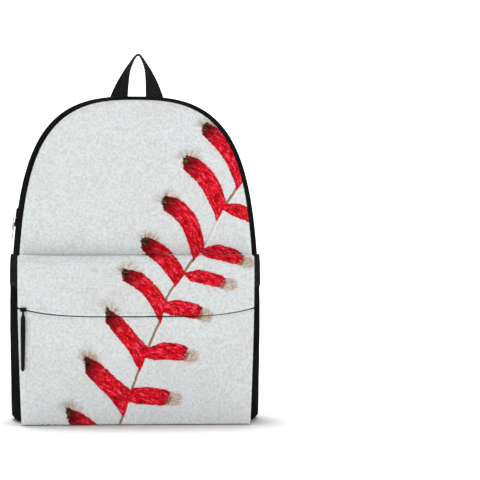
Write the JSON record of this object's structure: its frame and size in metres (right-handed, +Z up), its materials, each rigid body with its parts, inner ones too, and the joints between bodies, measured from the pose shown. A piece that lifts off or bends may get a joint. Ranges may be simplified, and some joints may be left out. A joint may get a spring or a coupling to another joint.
{
  "type": "baseball-print backpack",
  "caption": "Dome-top zipped backpack with a ball-seam print, zipped front pocket, side slip pockets, carrying loop and padded shoulder straps.",
  "frame": {"origin": "on the floor, under the middle of the main compartment", "axes": "+Z up towards the carrying loop, -Y towards the front pocket, +X to the right of someone facing the pocket"},
  "size_m": [0.331, 0.349, 0.4883],
  "materials": {
    "printed_cloth": "matt polyester, pale grey-white with a printed crimson ball seam",
    "black_cloth": "plain-woven black nylon, slight sheen",
    "hem_cloth": "black nylon, folded double",
    "zip_tape": "black twill tape with a coil",
    "padded_mesh": "black spacer mesh over foam",
    "webbing": "ribbed black webbing",
    "black_plastic": "moulded, satin"
  },
  "bodies": {
    "root": {"front_panel": "printed_cloth", "pocket_band": "printed_cloth", "pocket_front": "printed_cloth", "gusset_front": "black_cloth", "gusset_back": "black_cloth", "side_panel_right": "black_cloth", "side_panel_left": "black_cloth", "base_panel": "black_cloth", "side_pocket_right": "black_cloth", "side_pocket_left": "black_cloth", "pocket_gusset_right": "black_cloth", "pocket_gusset_left": "black_cloth", "side_pocket_hem_right": "hem_cloth", "side_pocket_hem_left": "hem_cloth", "main_zip": "zip_tape", "pocket_zip": "zip_tape", "back_panel": "padded_mesh", "shoulder_strap_right": "padded_mesh", "shoulder_strap_left": "padded_mesh", "carry_loop": "webbing", "strap_tab_right": "webbing", "strap_tab_left": "webbing", "lower_webbing_right": "webbing", "lower_webbing_left": "webbing", "main_pull_lower": "webbing", "main_pull_upper": "webbing", "ladder_lock_right": "black_plastic", "ladder_lock_left": "black_plastic", "main_slider_lower": "black_plastic", "main_slider_upper": "black_plastic", "pocket_slider": "black_plastic", "pocket_pull": "black_plastic"}
  },
  "joints": []
}
